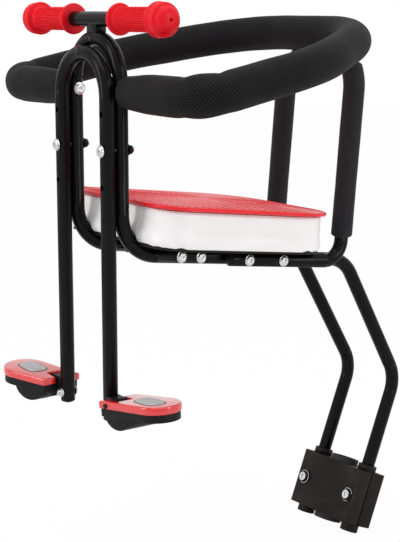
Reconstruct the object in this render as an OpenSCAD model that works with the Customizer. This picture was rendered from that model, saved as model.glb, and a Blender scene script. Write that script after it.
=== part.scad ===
// Child bike seat with a seat tube clamp, a front handle, folding foot pedals and a padded guard rail.
// Every figure is in millimetres. The child faces -Y, +X is at the child's left and +Z is up.
// The origin lies on the axis of the bicycle's seat tube, halfway up the clamp.

/* [Tubes] */
// Outer diameter of every frame tube
tube_od = 17; // [14:0.5:19]
// Wall thickness of the frame tubes
tube_wall = 1.5; // [1:0.1:2.5]
// Play between pieces that seat on each other
seat_gap = 0.3; // [0.1:0.1:0.5]

/* [Main frame] */
// Spacing of the two front legs and of the two seat rails
leg_spacing = 95; // [90:1:104]
// Height of the handle bar above the clamp
handle_height = 624.5; // [600:1:650]
// Distance of the front legs in front of the clamp
leg_reach = 370; // [350:1:390]
// Height at which the line of the seat rails meets the front legs
rail_height = 366; // [355:1:375]
// Fall of the seat rails towards the back, in degrees
rail_fall = 7; // [5:0.5:9]
// Bend radius between a front leg and its seat rail
rail_bend = 50; // [40:1:60]
// Length of the seat rails up to the bend into the support rods
rail_length = 335; // [325:1:345]
// Bend radius of the support rods
rod_bend = 45; // [35:1:55]
// Distance by which each support rod stands further in than its rail
rod_inset = 4; // [1:0.5:6]
// Lean of the bicycle's seat tube from the upright, in degrees
tube_lean = 21.3; // [17:0.1:24]
// Distance from the middle of the clamp up to the knee of the rods
knee_rise = 167; // [150:1:180]

/* [Handle] */
// Length of the handle bar without its grips' domes
bar_length = 270; // [250:1:290]
// Diameter of the flanges on the grips
grip_flange = 37; // [32:1:42]
// Diameter of a grip where the hand holds it
grip_body = 26; // [24:1:30]
// Place of a grip's inner flange from the middle
grip_inner = 46; // [36:1:50]
// Length of a grip between its flanges
grip_length = 80; // [70:1:90]
// Length of a grip's domed end beyond the outer flange
grip_dome = 16.5; // [15.5:0.5:30]

/* [Footrest] */
// Height of the footrest frame's arch, to the tube's centre line
footrest_arch = 588; // [570:1:600]
// Height of the lower ends of the footrest legs
footrest_foot = 179; // [165:1:200]
// Height of the bolts that hold the footrest frame
frame_bolt_height = 483; // [470:1:495]
// Step between the height holes
hole_step = 40; // [30:1:45]
// Height of a pedal's tread
tread_height = 207; // [202:1:215]
// Reach of a pedal outward from its leg
pedal_reach = 92; // [80:1:100]
// Sideways lean of a pedal's outer end from its leg
pedal_skew = 20; // [0:1:24]
// Rise of a pedal's outer end from level, in degrees
pedal_rise = 4; // [0:0.5:8]
// Diameter of a pedal's hinge pin
pedal_pin = 6; // [5:0.5:7]
// Distance of the hinge pin outward from the leg's centre line
pin_offset = 19; // [17:0.5:21]

/* [Backrest] */
// Height of the backrest arch, to the tube's centre line
backrest_arch = 594; // [580:1:605]
// Lean of the backrest from the upright, in degrees
backrest_lean = 5; // [2:0.5:8]
// Distance along the rails from the front legs to the backrest posts
backrest_place = 311; // [305:1:315]
// Length of the backrest tube that lies beside a rail
backrest_lap = 172; // [150:1:180]
// Outer diameter of the foam sleeves
foam_od = 26.4; // [24:0.2:30]

/* [Guard rail] */
// Width of the guard rail between its centre lines
guard_width = 398; // [370:1:410]
// Width of the guard rail where its rear corners meet its straight back
guard_rear_width = 220; // [190:1:240]
// Distance behind the front legs at which the sides start to turn inward
guard_side = 155; // [130:1:165]
// Height of the guard rail's back above the backrest arch
guard_lift = 12; // [4:1:16]
// Height of the guard rail's ends above the clamp
guard_height = 546.5; // [535:1:555]
// Outer diameter of the guard rail's padding
guard_pad = 44; // [36:1:46]
// Radius of the two front corners
guard_corner = 40; // [35:1:60]
// Radius of the bends halfway along the sides
guard_side_corner = 170; // [120:1:180]
// Radius of the two rear corners
guard_rear_corner = 130; // [100:1:140]

/* [Seat] */
// Width of the cushion
seat_width = 224; // [200:1:230]
// Length of the cushion along the rails
seat_length = 260; // [240:1:270]
// Distance of the cushion's front edge behind the front legs' centre line
seat_front = 11; // [9:1:20]
// Height of the cushion's white side wall
seat_side = 39; // [30:1:45]
// Height of the red top panel above the side wall
seat_crown = 9; // [5:1:12]
// Thickness of the board under the cushion
board_thick = 7; // [5:0.5:9]
// Thickness of the steel straps
strap_thick = 3; // [2:0.5:4]

/* [Clamp] */
// Diameter of the bicycle's seat tube
seat_tube = 31.8; // [28:0.1:34]
// Width of the clamp block beyond each rod's centre line
clamp_margin = 12.5; // [11:0.5:16]
// Height of the clamp block along the seat tube
clamp_length = 73; // [60:1:80]
// Depth of the front shell from the seat tube's axis
clamp_front_depth = 21; // [20.5:0.5:26]
// Depth of the rear shell from the seat tube's axis
clamp_rear_depth = 23; // [20.5:0.5:28]
// Gap between the two shells
clamp_gap = 2; // [1:0.5:3]
// Thickness of the rubber liners
liner_thick = 2.5; // [2:0.1:3]
// Length of the liners beyond each end of the block
liner_lip = 7; // [4:1:10]

/* [Fasteners] */
// Diameter of the frame bolts
bolt_d = 6; // [5:1:6]
// Diameter of the clamp bolts
clamp_bolt_d = 8; // [6:1:8]

/* [Hidden] */
$fn = 48;
joint_gap = 0.05;
arch_flat = 0.3;
backrest_flat = 8;
plug_depth = 6;
running_gap = 0.08;

tube_r = tube_od / 2;
bore_r = tube_r - tube_wall;
leg_x = leg_spacing / 2;
leg_y = -leg_reach;
hole_d = bolt_d + 0.6;
frame_arch = handle_height - tube_od - 3.5;
front_y = leg_y - tube_od - seat_gap;
outer_x = leg_x + tube_od + seat_gap;
rod_x = leg_x - rod_inset;
clamp_width = 2 * (rod_x + clamp_margin);
lean_dir = [0, sin(tube_lean), cos(tube_lean)];
knee = knee_rise * lean_dir;
rod_foot = -(clamp_length / 2 + 5) * lean_dir;
rail_dir = [0, cos(rail_fall), -sin(rail_fall)];
rail_start = [0, leg_y, rail_height];
rail_end = rail_start + rail_length * rail_dir;
post_foot = rail_start + backrest_place * rail_dir;
post_lean_y = tan(backrest_lean);
arch_y = post_foot.y + (backrest_arch - post_foot.z) * post_lean_y;
guard_x = guard_width / 2;
pad_r = guard_pad / 2;
joint_span = tube_r + pad_r + seat_gap;
guard_rear_y = arch_y - sqrt(joint_span * joint_span - guard_lift * guard_lift);
guard_rear_z = backrest_arch + guard_lift;
guard_side_y = leg_y + guard_side;
guard_side_z = guard_height + (guard_rear_z - guard_height) * guard_side / (guard_rear_y - leg_y);
guard_stub = leg_x + tube_r + seat_gap;
strap_top = tube_r + 1 + strap_thick;
cushion_z = strap_top + board_thick;
front_strap_y = 90;
rear_strap_y = 188;
front_pitch = 28;
rear_pitch = 52;
strap_end = 14;
rail_x = leg_x;
flange_x = rail_x - tube_r;
tread_thick = 9;
base_thick = 9;
pin_z = tread_height - 5.5;
arm_half = 24.5;
notch_half = 9.2;
pedal_end_r = 27;
liner_r = seat_tube / 2 + liner_thick;

function unit(v) = v / norm(v);
function side(v, s) = [s * v.x, v.y, v.z];
function turn(a, b, c) = acos(unit(b - a) * unit(c - b));
function reach(a, b, c, r) = r * tan(turn(a, b, c) / 2);

main_half = [
    [rod_x, rod_foot.y, rod_foot.z],
    [rod_x, knee.y, knee.z],
    [rail_x, rail_end.y, rail_end.z],
    [leg_x, leg_y, rail_height],
    [leg_x, leg_y, frame_arch]];
main_bends = [0, rod_bend, rod_bend, rail_bend, leg_x - arch_flat];
backrest_half = [
    [outer_x, (post_foot - backrest_lap * rail_dir).y, (post_foot - backrest_lap * rail_dir).z],
    [outer_x, post_foot.y, post_foot.z],
    [outer_x, arch_y, backrest_arch]];
backrest_bends = [0, 25, outer_x - backrest_flat];
guard_half = [
    [guard_stub, leg_y, guard_height],
    [guard_x, leg_y, guard_height],
    [guard_x, guard_side_y, guard_side_z],
    [guard_rear_width / 2, guard_rear_y, guard_rear_z]];
guard_bends = [0, guard_corner, guard_side_corner, guard_rear_corner];
footrest_half = [
    [leg_x, front_y, footrest_foot],
    [leg_x, front_y, footrest_arch]];
footrest_bends = [0, leg_x - arch_flat];

function mirrored(half) = concat(half, [for (i = [len(half) - 1:-1:0]) side(half[i], -1)]);
function doubled(radii) = concat(radii, [for (i = [len(radii) - 1:-1:0]) radii[i]]);

// Places its child with the local z axis from a towards b
module facing(a, b) {
    z = unit(b - a);
    x = abs(z.x) > 0.9 ? unit(cross([0, 0, 1], z)) : unit(cross(z, [1, 0, 0]));
    y = cross(z, x);
    multmatrix([[x.x, y.x, z.x, a.x], [x.y, y.y, z.y, a.y], [x.z, y.z, z.z, a.z], [0, 0, 0, 1]])
        children();
}

// Straight rod between two points
module straight(a, b, r) {
    facing(a, b) cylinder(r = r, h = norm(b - a), $fn = 28);
}

// Bend at point b on the way from a to c, over the given part of its turn
module bend(a, b, c, radius, r, part = 1) {
    u = unit(b - a);
    w = unit(c - b);
    angle = acos(u * w);
    start = b - u * radius * tan(angle / 2);
    inward = unit(w - u * (u * w));
    centre = start + inward * radius;
    x = -inward;
    z = cross(x, u);
    multmatrix([[x.x, u.x, z.x, centre.x], [x.y, u.y, z.y, centre.y], [x.z, u.z, z.z, centre.z], [0, 0, 0, 1]])
        rotate_extrude(angle = angle * part, $fn = 36) translate([radius, 0]) circle(r, $fn = 28);
}

// Faint bending mark round a rod, over the joint of a straight and a bend
module mark(p, dir, r) {
    straight(p - 0.2 * dir, p + 0.2 * dir, r + 0.02);
}

// Solid rod along a list of corner points, with a bend radius at each corner
module path(points, radii, r, over = 0) {
    last = len(points) - 1;
    cut = [for (i = [0:last]) i == 0 || i == last ? 0 : reach(points[i - 1], points[i], points[i + 1], radii[i])];
    for (i = [0:last - 1]) {
        dir = unit(points[i + 1] - points[i]);
        from = points[i] + dir * (i == 0 ? -over : cut[i] + joint_gap);
        to = points[i + 1] - dir * (i == last - 1 ? -over : cut[i + 1] + joint_gap);
        straight(from, to, r);
        if (i > 0) mark(points[i] + dir * cut[i], dir, r);
        if (i < last - 1) mark(points[i + 1] - dir * cut[i + 1], dir, r);
    }
    for (i = [1:last - 1]) bend(points[i - 1], points[i], points[i + 1], radii[i], r);
}

// Hollow tube along a list of corner points
module tube(points, radii, outer, inner) {
    difference() {
        path(points, radii, outer);
        path(points, radii, inner, 1);
    }
}

module main_path(r) {
    path(mirrored(main_half), doubled(main_bends), r);
}

// Rod along x, y or z through a point
module across_x(p, r, from, to) {
    translate([from, p.y, p.z]) rotate([0, 90, 0]) cylinder(r = r, h = to - from);
}
module across_y(p, r, from, to) {
    translate([p.x, from, p.z]) rotate([-90, 0, 0]) cylinder(r = r, h = to - from);
}

// Button head bolt along z, head below z = 0 and shank upward
module bolt(d, length) {
    rotate_extrude() polygon([[0, -0.55 * d], [0.75 * d, -0.55 * d], [1.0 * d, -0.3 * d], [1.0 * d, -0.14 * d],
        [1.14 * d, -0.14 * d], [1.14 * d, 0], [d / 2, 0], [d / 2, length], [0, length]]);
}
module socketed_bolt(d, length) {
    difference() {
        bolt(d, length);
        translate([0, 0, -0.6 * d]) cylinder(d = 0.7 * d, h = 0.4 * d, $fn = 6);
    }
}
module nut(d, hole) {
    difference() {
        union() {
            cylinder(d = 1.8 * d, h = 0.85 * d, $fn = 6);
            cylinder(d = 2.1 * d, h = 0.2 * d);
        }
        translate([0, 0, -1]) cylinder(d = hole, h = d + 2);
    }
}

// Frame of the seat rails: y runs back along the rail, z stands up from it
module on_rail() {
    translate(rail_start) rotate([-rail_fall, 0, 0]) children();
}

// Frame of the joint between the backrest arch and the guard rail: z runs from the first to the second
module on_back_joint() {
    facing([0, arch_y, backrest_arch], [0, guard_rear_y, guard_rear_z]) children();
}

// Frame of the clamp: z runs up the seat tube and -y faces forward
module on_clamp() {
    rotate([-tube_lean, 0, 0]) children();
}

module main_frame() color("#1a1818") difference() {
    tube(mirrored(main_half), doubled(main_bends), tube_r, bore_r);
    for (s = [-1, 1]) {
        for (i = [-1:1])
            across_y([s * leg_x, 0, frame_bolt_height + i * hole_step], hole_d / 2, leg_y - 10, leg_y + 10);
        across_x([0, leg_y, guard_height], hole_d / 2, s > 0 ? leg_x - 10 : -leg_x - 10, s > 0 ? leg_x + 10 : -leg_x + 10);
        on_rail() for (y = [front_strap_y - front_pitch / 2, front_strap_y + front_pitch / 2,
            rear_strap_y - rear_pitch / 2, rear_strap_y + rear_pitch / 2])
            across_x([0, y, 0], hole_d / 2, s * rail_x - 10, s * rail_x + 10);
        on_clamp() across_y([s * rod_x, 0, 0], clamp_bolt_d / 2 + 0.3, -10, 10);
    }
}

module footrest_frame() color("#1a1818") difference() {
    tube(mirrored(footrest_half), doubled(footrest_bends), tube_r, bore_r);
    for (s = [-1, 1]) {
        for (i = [-1:1])
            across_y([s * leg_x, 0, frame_bolt_height + i * hole_step], hole_d / 2, front_y - 10, front_y + 10);
        across_y([s * leg_x, 0, pin_z - 12], 2.8, front_y - 10, front_y + 10);
    }
}

module backrest_frame() color("#1a1818") difference() {
    tube(mirrored(backrest_half), doubled(backrest_bends), tube_r, bore_r);
    for (s = [-1, 1]) on_rail() for (y = [rear_strap_y - rear_pitch / 2, rear_strap_y + rear_pitch / 2])
        across_x([0, y, 0], hole_d / 2, s * outer_x - 10, s * outer_x + 10);
    on_back_joint() translate([0, 0, -10]) cylinder(d = hole_d, h = 20);
}

// Foam sleeve on one post, from above the lower bend into the arch
module sleeve(s, r, over) {
    foot = side(backrest_half[1], s);
    top = side(backrest_half[2], s);
    across = side(backrest_half[2], -s);
    radius = outer_x - backrest_flat;
    dir = unit(top - foot);
    joint = top - dir * reach(foot, top, across, radius);
    straight(foot + dir * (30 - over), joint - dir * joint_gap, r);
    mark(joint, dir, r);
    bend(foot, top, across, radius, r, 0.36 + over * 0.01);
}
module backrest_foam(s) difference() {
    sleeve(s, foam_od / 2, 0);
    sleeve(s, tube_r + 0.1, 1);
}
module backrest_foam_left() color("#2b2a2c") backrest_foam(1);
module backrest_foam_right() color("#2b2a2c") backrest_foam(-1);

module guard_rail() color("#1a1818") difference() {
    tube(mirrored(guard_half), doubled(guard_bends), tube_r, bore_r);
    on_back_joint() translate([0, 0, joint_span - 10]) cylinder(d = hole_d, h = 20);
}

// Foam and mesh cover round the guard rail, open at the back for the spacer
module guard_padding() color("#232224") difference() {
    pad_half = concat([guard_half[0] + [3, 0, 0]], [for (i = [1:3]) guard_half[i]]);
    tube(mirrored(pad_half), doubled(guard_bends), pad_r, tube_r + 0.1);
    on_back_joint() translate([0, 0, joint_span - pad_r - 1]) cylinder(r = 8.5, h = pad_r + 16);
}

// Threaded plugs in the ends of the guard rail
module guard_inserts() color("#9a9ca0") for (s = [-1, 1])
    translate([s * guard_stub, leg_y, guard_height]) rotate([0, s * 90, 0]) difference() {
        cylinder(r = bore_r - 0.05, h = 24);
        translate([0, 0, -1]) cylinder(r = bolt_d / 2 + 0.1, h = 21);
    }

module guard_bolts() color("#c8cacc") for (s = [-1, 1])
    translate([s * (leg_x - tube_r - 1.6), leg_y, guard_height]) rotate([0, s * 90, 0]) socketed_bolt(bolt_d, 34);

module guard_washers() color("#c8cacc") for (s = [-1, 1])
    translate([s * (leg_x - tube_r - 1.6), leg_y, guard_height]) rotate([0, s * 90, 0]) difference() {
        cylinder(r = 7.2, h = 1.6);
        translate([0, 0, -1]) cylinder(d = hole_d, h = 4);
        translate([0, 0, tube_r + 1.6]) rotate([90, 0, 0]) cylinder(r = tube_r, h = 20, center = true);
    }

// Spacer bush between the guard rail and the backrest arch
module guard_spacer() color("#1a1818") difference() {
    on_back_joint() translate([0, 0, 4]) cylinder(r = 7.5, h = joint_span - 8);
    on_back_joint() cylinder(d = hole_d, h = joint_span);
    across_x([0, guard_rear_y, guard_rear_z], tube_r + 0.05, -20, 20);
    across_x([0, arch_y, backrest_arch], tube_r + 0.05, -20, 20);
}

module guard_rear_bolt() color("#c8cacc")
    on_back_joint() translate([0, 0, -tube_r]) socketed_bolt(bolt_d, joint_span + tube_od + 6);

module guard_rear_nut() color("#c8cacc")
    on_back_joint() translate([0, 0, joint_span + tube_r]) nut(bolt_d, bolt_d + 0.2);

module handle_bar() color("#1a1818")
    translate([-bar_length / 2, leg_y, handle_height]) rotate([0, 90, 0]) difference() {
        cylinder(r = tube_r, h = bar_length);
        translate([0, 0, -1]) cylinder(r = bore_r, h = bar_length + 2);
    }

// Saddle block welded between the main frame's arch and the handle bar
module handle_saddle() color("#1a1818") difference() {
    translate([-10, leg_y - 6.5, frame_arch + 2]) cube([20, 13, handle_height - frame_arch - 4]);
    across_x([0, leg_y, handle_height], tube_r, -20, 20);
    translate([0, leg_y, frame_arch - leg_x]) rotate([90, 0, 0]) rotate_extrude() translate([leg_x, 0]) circle(tube_r + 0.05);
}

// Grip with two flanges and a domed end, bored for the bar
module grip(s) {
    inner = grip_inner;
    outer = grip_inner + grip_length;
    translate([0, leg_y, handle_height]) rotate([0, s * 90, 0]) rotate_extrude() difference() {
        union() {
            translate([0, inner]) square([grip_flange / 2 - 2, 5]);
            translate([grip_flange / 2 - 2.5, inner + 2.5]) circle(2.5);
            translate([0, outer]) square([grip_flange / 2 - 2, 5]);
            translate([grip_flange / 2 - 2.5, outer + 2.5]) circle(2.5);
            translate([0, inner]) square([grip_body / 2, grip_length]);
            translate([0, outer]) square([15, 5 + grip_dome - 15]);
            intersection() {
                translate([0, outer + grip_dome - 10]) circle(15);
                translate([0, outer]) square([15, grip_dome + 5]);
            }
        }
        translate([0, inner - 1]) square([tube_r + 0.1, bar_length / 2 - inner + 1.1]);
        translate([-40, inner - 5]) square([40, grip_length + 60]);
        translate([0, inner]) square([2, grip_length + 60]);
    }
}
module grip_left() color("#e0202c") grip(1);
module grip_right() color("#e0202c") grip(-1);

// Outline of the seat in the rail frame, drawn in by a margin
module seat_outline(margin) {
    half = seat_width / 2 - margin;
    front = seat_front + margin;
    rear = seat_front + seat_length - margin;
    fr = 35;
    rr = 62;
    polygon([[fr - half, front], [half - fr, front], [half, front + fr], [half, rear - rr], [half - rr, rear],
        [rr - half, rear], [-half, rear - rr], [-half, front + fr]]);
    for (s = [-1, 1]) {
        translate([s * (half - fr), front + fr]) circle(fr);
        translate([s * (half - rr), rear - rr]) circle(rr);
    }
}

module seat_cushion() color("#ececee") difference() {
    on_rail() translate([0, 0, cushion_z]) linear_extrude(seat_side) seat_outline(0);
    main_path(tube_r + 0.5);
}

module seat_top() color("#e8283a") on_rail() {
    translate([0, 0, cushion_z + seat_side]) linear_extrude(seat_crown - 4) seat_outline(1);
    translate([0, 0, cushion_z + seat_side + seat_crown - 4]) linear_extrude(4) seat_outline(14);
}

// Plywood board under the cushion, cut away where the rails bend up into the legs
module seat_board() color("#26221f") difference() {
    on_rail() translate([0, 0, strap_top]) linear_extrude(board_thick) seat_outline(3);
    main_path(tube_r + 0.5);
    on_rail() for (x = [-22, 22], y = [front_strap_y, rear_strap_y])
        translate([x, y, 0]) cylinder(r = 2.2, h = strap_top + board_thick + 1);
}

module board_screws() color("#c8cacc") on_rail() for (x = [-22, 22], y = [front_strap_y, rear_strap_y])
    translate([x, y, strap_top - strap_thick]) rotate_extrude()
        polygon([[0, -2.6], [3, -2.6], [4.6, 0], [2, 0], [2, strap_thick + board_thick - 1], [0, strap_thick + board_thick - 1]]);

// Steel strap across the rails with both ends turned down inside them
module strap(middle, pitch) on_rail() difference() {
    length = pitch + 2 * strap_end;
    union() {
        translate([-flange_x, middle - length / 2, strap_top - strap_thick]) cube([2 * flange_x, length, strap_thick]);
        for (s = [-1, 1]) translate([s > 0 ? flange_x - strap_thick : -flange_x, middle - length / 2, -8])
            cube([strap_thick, length, strap_top + 8 - strap_thick / 2]);
    }
    for (y = [middle - pitch / 2, middle + pitch / 2])
        across_x([0, y, 0], hole_d / 2, -flange_x - 5, flange_x + 5);
    for (x = [-22, 22]) translate([x, middle, 0]) cylinder(r = 2.4, h = strap_top + 1);
}
module front_strap() color("#1a1818") strap(front_strap_y, front_pitch);
module rear_strap() color("#1a1818") strap(rear_strap_y, rear_pitch);

// Bolts and nuts through the rails, at the two places of one strap
module rail_bolt_row(middle, pitch, face) on_rail()
    for (s = [-1, 1], y = [middle - pitch / 2, middle + pitch / 2])
        translate([s * face, y, 0]) rotate([0, -s * 90, 0]) socketed_bolt(bolt_d, face - flange_x + strap_thick + 8);
module rail_nut_row(middle, pitch) on_rail()
    for (s = [-1, 1], y = [middle - pitch / 2, middle + pitch / 2])
        translate([s * (flange_x - strap_thick), y, 0]) rotate([0, -s * 90, 0]) nut(bolt_d, bolt_d + 0.2);
module front_rail_bolts() color("#c8cacc") rail_bolt_row(front_strap_y, front_pitch, rail_x + tube_r);
module front_rail_nuts() color("#c8cacc") rail_nut_row(front_strap_y, front_pitch);
module rear_rail_bolts() color("#c8cacc") rail_bolt_row(rear_strap_y, rear_pitch, outer_x + tube_r);
module rear_rail_nuts() color("#c8cacc") rail_nut_row(rear_strap_y, rear_pitch);

module frame_bolts() color("#c8cacc") for (s = [-1, 1])
    translate([s * leg_x, front_y - tube_r, frame_bolt_height]) rotate([-90, 0, 0]) socketed_bolt(bolt_d, 2 * tube_od + 8);
module frame_nuts() color("#c8cacc") for (s = [-1, 1])
    translate([s * leg_x, leg_y + tube_r, frame_bolt_height]) rotate([-90, 0, 0]) nut(bolt_d, bolt_d + 0.2);

// Push-in plug with a low domed head, pointing along z into a tube
module plug() {
    cylinder(r = bore_r, h = plug_depth);
    rotate_extrude() intersection() {
        translate([0, 10]) circle(13);
        translate([0, -4]) square([tube_r, 4]);
    }
}
module backrest_plugs() color("#202022") for (s = [-1, 1])
    facing(side(backrest_half[0], s), side(backrest_half[1], s)) plug();
module leg_plugs() color("#202022") for (s = [-1, 1])
    translate([s * leg_x, front_y, footrest_foot]) plug();

// Frame of a pedal: x runs outward from its leg, and the two sides are the same moulding turned about
module on_pedal(s) {
    translate([s * leg_x, front_y, 0]) rotate([0, 0, s > 0 ? 0 : 180]) children();
}

// Frame of a pedal's own pieces, turned about the hinge pin by the pedal's rise
module on_hinge(s) {
    on_pedal(s) translate([pin_offset, 0, pin_z]) rotate([0, -pedal_rise, 0]) translate([-pin_offset, 0, -pin_z])
        children();
}

// Outline of a pedal: two arms beside the leg that widen into a rounded end
module pedal_outline(margin) {
    r = pedal_end_r - margin;
    end = [pedal_reach - pedal_end_r, pedal_skew];
    low = [10 + margin, margin - arm_half + 3];
    high = [10 + margin, arm_half + 3 - margin];
    start = atan2((low - end).y, (low - end).x) + acos(r / norm(low - end));
    stop = atan2((high - end).y, (high - end).x) - acos(r / norm(high - end));
    difference() {
        polygon(concat([low], [for (i = [0:30]) let (a = start + (stop - start) * i / 30) end + r * [cos(a), sin(a)]], [high]));
        translate([0, -notch_half]) square([30, 2 * notch_half + 2]);
    }
}

module pedal_tread(s) on_hinge(s) difference() {
    translate([0, 0, tread_height - tread_thick]) linear_extrude(tread_thick) pedal_outline(0);
    translate([0, 0, tread_height - 0.8]) linear_extrude(2) translate([pedal_reach - 36, 15]) scale([1, 0.6]) circle(17);
    across_y([pin_offset, 0, pin_z], pedal_pin / 2 + running_gap, -40, 40);
}
module pedal_tread_left() color("#dd1f20") pedal_tread(1);
module pedal_tread_right() color("#dd1f20") pedal_tread(-1);

// Lower shell of a pedal with the deeper hinge housing at its root
module pedal_base(s) on_hinge(s) difference() {
    low = tread_height - tread_thick - base_thick;
    union() {
        translate([0, 0, low]) linear_extrude(base_thick) pedal_outline(1.5);
        intersection() {
            translate([0, 0, low - 14]) linear_extrude(20) pedal_outline(3);
            across_y([34, 0, low + 6], 20, -40, 60);
        }
    }
    across_y([pin_offset, 0, pin_z], pedal_pin / 2 + running_gap, -40, 40);
}
module pedal_base_left() color("#232123") pedal_base(1);
module pedal_base_right() color("#232123") pedal_base(-1);

// Bracket on the leg with the lug that carries the hinge pin
module pedal_bracket(s) on_pedal(s) difference() {
    union() {
        translate([0, -8, pin_z - 18]) cube([16, 16, 24]);
        translate([0, -8, pin_z - 6]) cube([pin_offset, 16, 12]);
        across_y([pin_offset, 0, pin_z], 6, -8, 8);
    }
    translate([0, 0, 0]) cylinder(r = tube_r, h = handle_height);
    across_y([pin_offset, 0, pin_z], pedal_pin / 2, -40, 40);
    across_y([0, 0, pin_z - 12], 2.8, -10, 10);
    translate([-1, -9, pin_z - 20]) cube([2.5, 18, 30]);
}
module pedal_bracket_left() color("#1f1d1f") pedal_bracket(1);
module pedal_bracket_right() color("#1f1d1f") pedal_bracket(-1);

module pedal_pin(s) on_pedal(s) across_y([pin_offset, 0, pin_z], pedal_pin / 2, 4 - arm_half, arm_half + 2);
module pedal_pin_left() color("#b8babc") pedal_pin(1);
module pedal_pin_right() color("#b8babc") pedal_pin(-1);

// Cross bolt through each bracket and its leg
module bracket_bolts() color("#c8cacc") for (s = [-1, 1]) on_pedal(s)
    translate([0, -tube_r, pin_z - 12]) rotate([-90, 0, 0]) socketed_bolt(5, tube_od + 6);
module bracket_nuts() color("#c8cacc") for (s = [-1, 1]) on_pedal(s)
    translate([0, tube_r, pin_z - 12]) rotate([-90, 0, 0]) nut(5, 5.2);

// Half of the clamp block, cut for the liner, the rods and the bolts
module clamp_half(from, to) on_clamp() difference() {
    translate([-clamp_width / 2, from, -clamp_length / 2]) cube([clamp_width, to - from, clamp_length]);
    cylinder(r = liner_r, h = 2 * clamp_length, center = true);
    for (s = [-1, 1]) {
        translate([s * rod_x, 0, 0]) cylinder(r = tube_r + 0.1, h = 2 * clamp_length, center = true);
        across_y([s * rod_x, 0, 0], clamp_bolt_d / 2 + 0.3, -60, 60);
    }
}
module clamp_front() color("#221c1b") clamp_half(-clamp_front_depth, -clamp_gap / 2);
module clamp_rear() color("#221c1b") {
    clamp_half(clamp_gap / 2, clamp_rear_depth);
    on_clamp() for (x = [-24:8:24]) translate([x - 1.5, clamp_rear_depth - 0.5, 4 - clamp_length / 2])
        cube([3, 2.5, clamp_length - 8]);
}

// Rubber half shell between the seat tube and the block
module clamp_liner(s) on_clamp() intersection() {
    difference() {
        cylinder(r = liner_r, h = clamp_length + 2 * liner_lip, center = true);
        cylinder(r = seat_tube / 2, h = 2 * clamp_length, center = true);
    }
    translate([-50, s > 0 ? clamp_gap / 2 : -50 - clamp_gap / 2, -100]) cube([100, 50, 200]);
}
module clamp_liner_front() color("#2a2728") clamp_liner(-1);
module clamp_liner_rear() color("#2a2728") clamp_liner(1);

module clamp_bolts() color("#a8aaac") on_clamp() for (s = [-1, 1])
    translate([s * rod_x, -clamp_front_depth, 0]) rotate([-90, 0, 0])
        socketed_bolt(clamp_bolt_d, clamp_front_depth + clamp_rear_depth + 9);
module clamp_nuts() color("#a8aaac") on_clamp() for (s = [-1, 1])
    translate([s * rod_x, clamp_rear_depth, 0]) rotate([-90, 0, 0]) nut(clamp_bolt_d, clamp_bolt_d + 0.2);

module rod_collars() color("#201c1c") on_clamp() for (s = [-1, 1])
    translate([s * rod_x, 0, clamp_length / 2]) rotate_extrude() translate([tube_r + 0.1, 0]) square([3.6, 8]);
module rod_end_caps() color("#201c1c") on_clamp() for (s = [-1, 1])
    translate([s * rod_x, 0, -clamp_length / 2 - 10]) difference() {
        cylinder(r = tube_r + 3.2, h = 10);
        translate([0, 0, 5]) cylinder(r = tube_r + 0.1, h = 10);
    }

main_frame();
footrest_frame();
backrest_frame();
backrest_foam_left();
backrest_foam_right();
guard_rail();
guard_padding();
guard_inserts();
guard_bolts();
guard_washers();
guard_spacer();
guard_rear_bolt();
guard_rear_nut();
handle_bar();
handle_saddle();
grip_left();
grip_right();
seat_cushion();
seat_top();
seat_board();
board_screws();
front_strap();
rear_strap();
front_rail_bolts();
front_rail_nuts();
rear_rail_bolts();
rear_rail_nuts();
frame_bolts();
frame_nuts();
backrest_plugs();
leg_plugs();
pedal_tread_left();
pedal_tread_right();
pedal_base_left();
pedal_base_right();
pedal_bracket_left();
pedal_bracket_right();
pedal_pin_left();
pedal_pin_right();
bracket_bolts();
bracket_nuts();
clamp_front();
clamp_rear();
clamp_liner_front();
clamp_liner_rear();
clamp_bolts();
clamp_nuts();
rod_collars();
rod_end_caps();
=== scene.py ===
# Child bike seat, seen from its front left: glossy black tube frame, padded guard rail, red and white seat,
# red grips and folding pedals. Sizes of the object are in millimetres, and those of the studio in metres.
import math
import bmesh
import bpy
from mathutils import Matrix, Vector, noise


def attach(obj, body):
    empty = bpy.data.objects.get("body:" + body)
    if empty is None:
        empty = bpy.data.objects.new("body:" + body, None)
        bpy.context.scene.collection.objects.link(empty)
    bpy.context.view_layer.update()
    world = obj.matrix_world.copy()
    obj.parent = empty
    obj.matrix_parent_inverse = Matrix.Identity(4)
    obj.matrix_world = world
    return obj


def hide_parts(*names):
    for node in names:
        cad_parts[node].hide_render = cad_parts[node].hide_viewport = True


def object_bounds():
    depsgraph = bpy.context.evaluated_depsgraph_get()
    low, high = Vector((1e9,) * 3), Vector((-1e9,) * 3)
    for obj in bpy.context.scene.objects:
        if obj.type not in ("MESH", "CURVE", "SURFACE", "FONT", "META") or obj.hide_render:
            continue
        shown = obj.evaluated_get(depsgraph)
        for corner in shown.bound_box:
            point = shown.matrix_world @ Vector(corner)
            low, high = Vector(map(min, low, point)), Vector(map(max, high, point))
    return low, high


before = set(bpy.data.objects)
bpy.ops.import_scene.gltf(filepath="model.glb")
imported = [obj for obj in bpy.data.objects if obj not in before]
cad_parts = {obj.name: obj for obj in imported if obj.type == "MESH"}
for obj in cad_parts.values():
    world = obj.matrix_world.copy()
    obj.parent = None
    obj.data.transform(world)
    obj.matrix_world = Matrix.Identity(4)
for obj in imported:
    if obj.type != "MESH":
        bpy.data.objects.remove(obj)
cad_box = [list(corner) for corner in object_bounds()]
MM = 0.001

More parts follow.
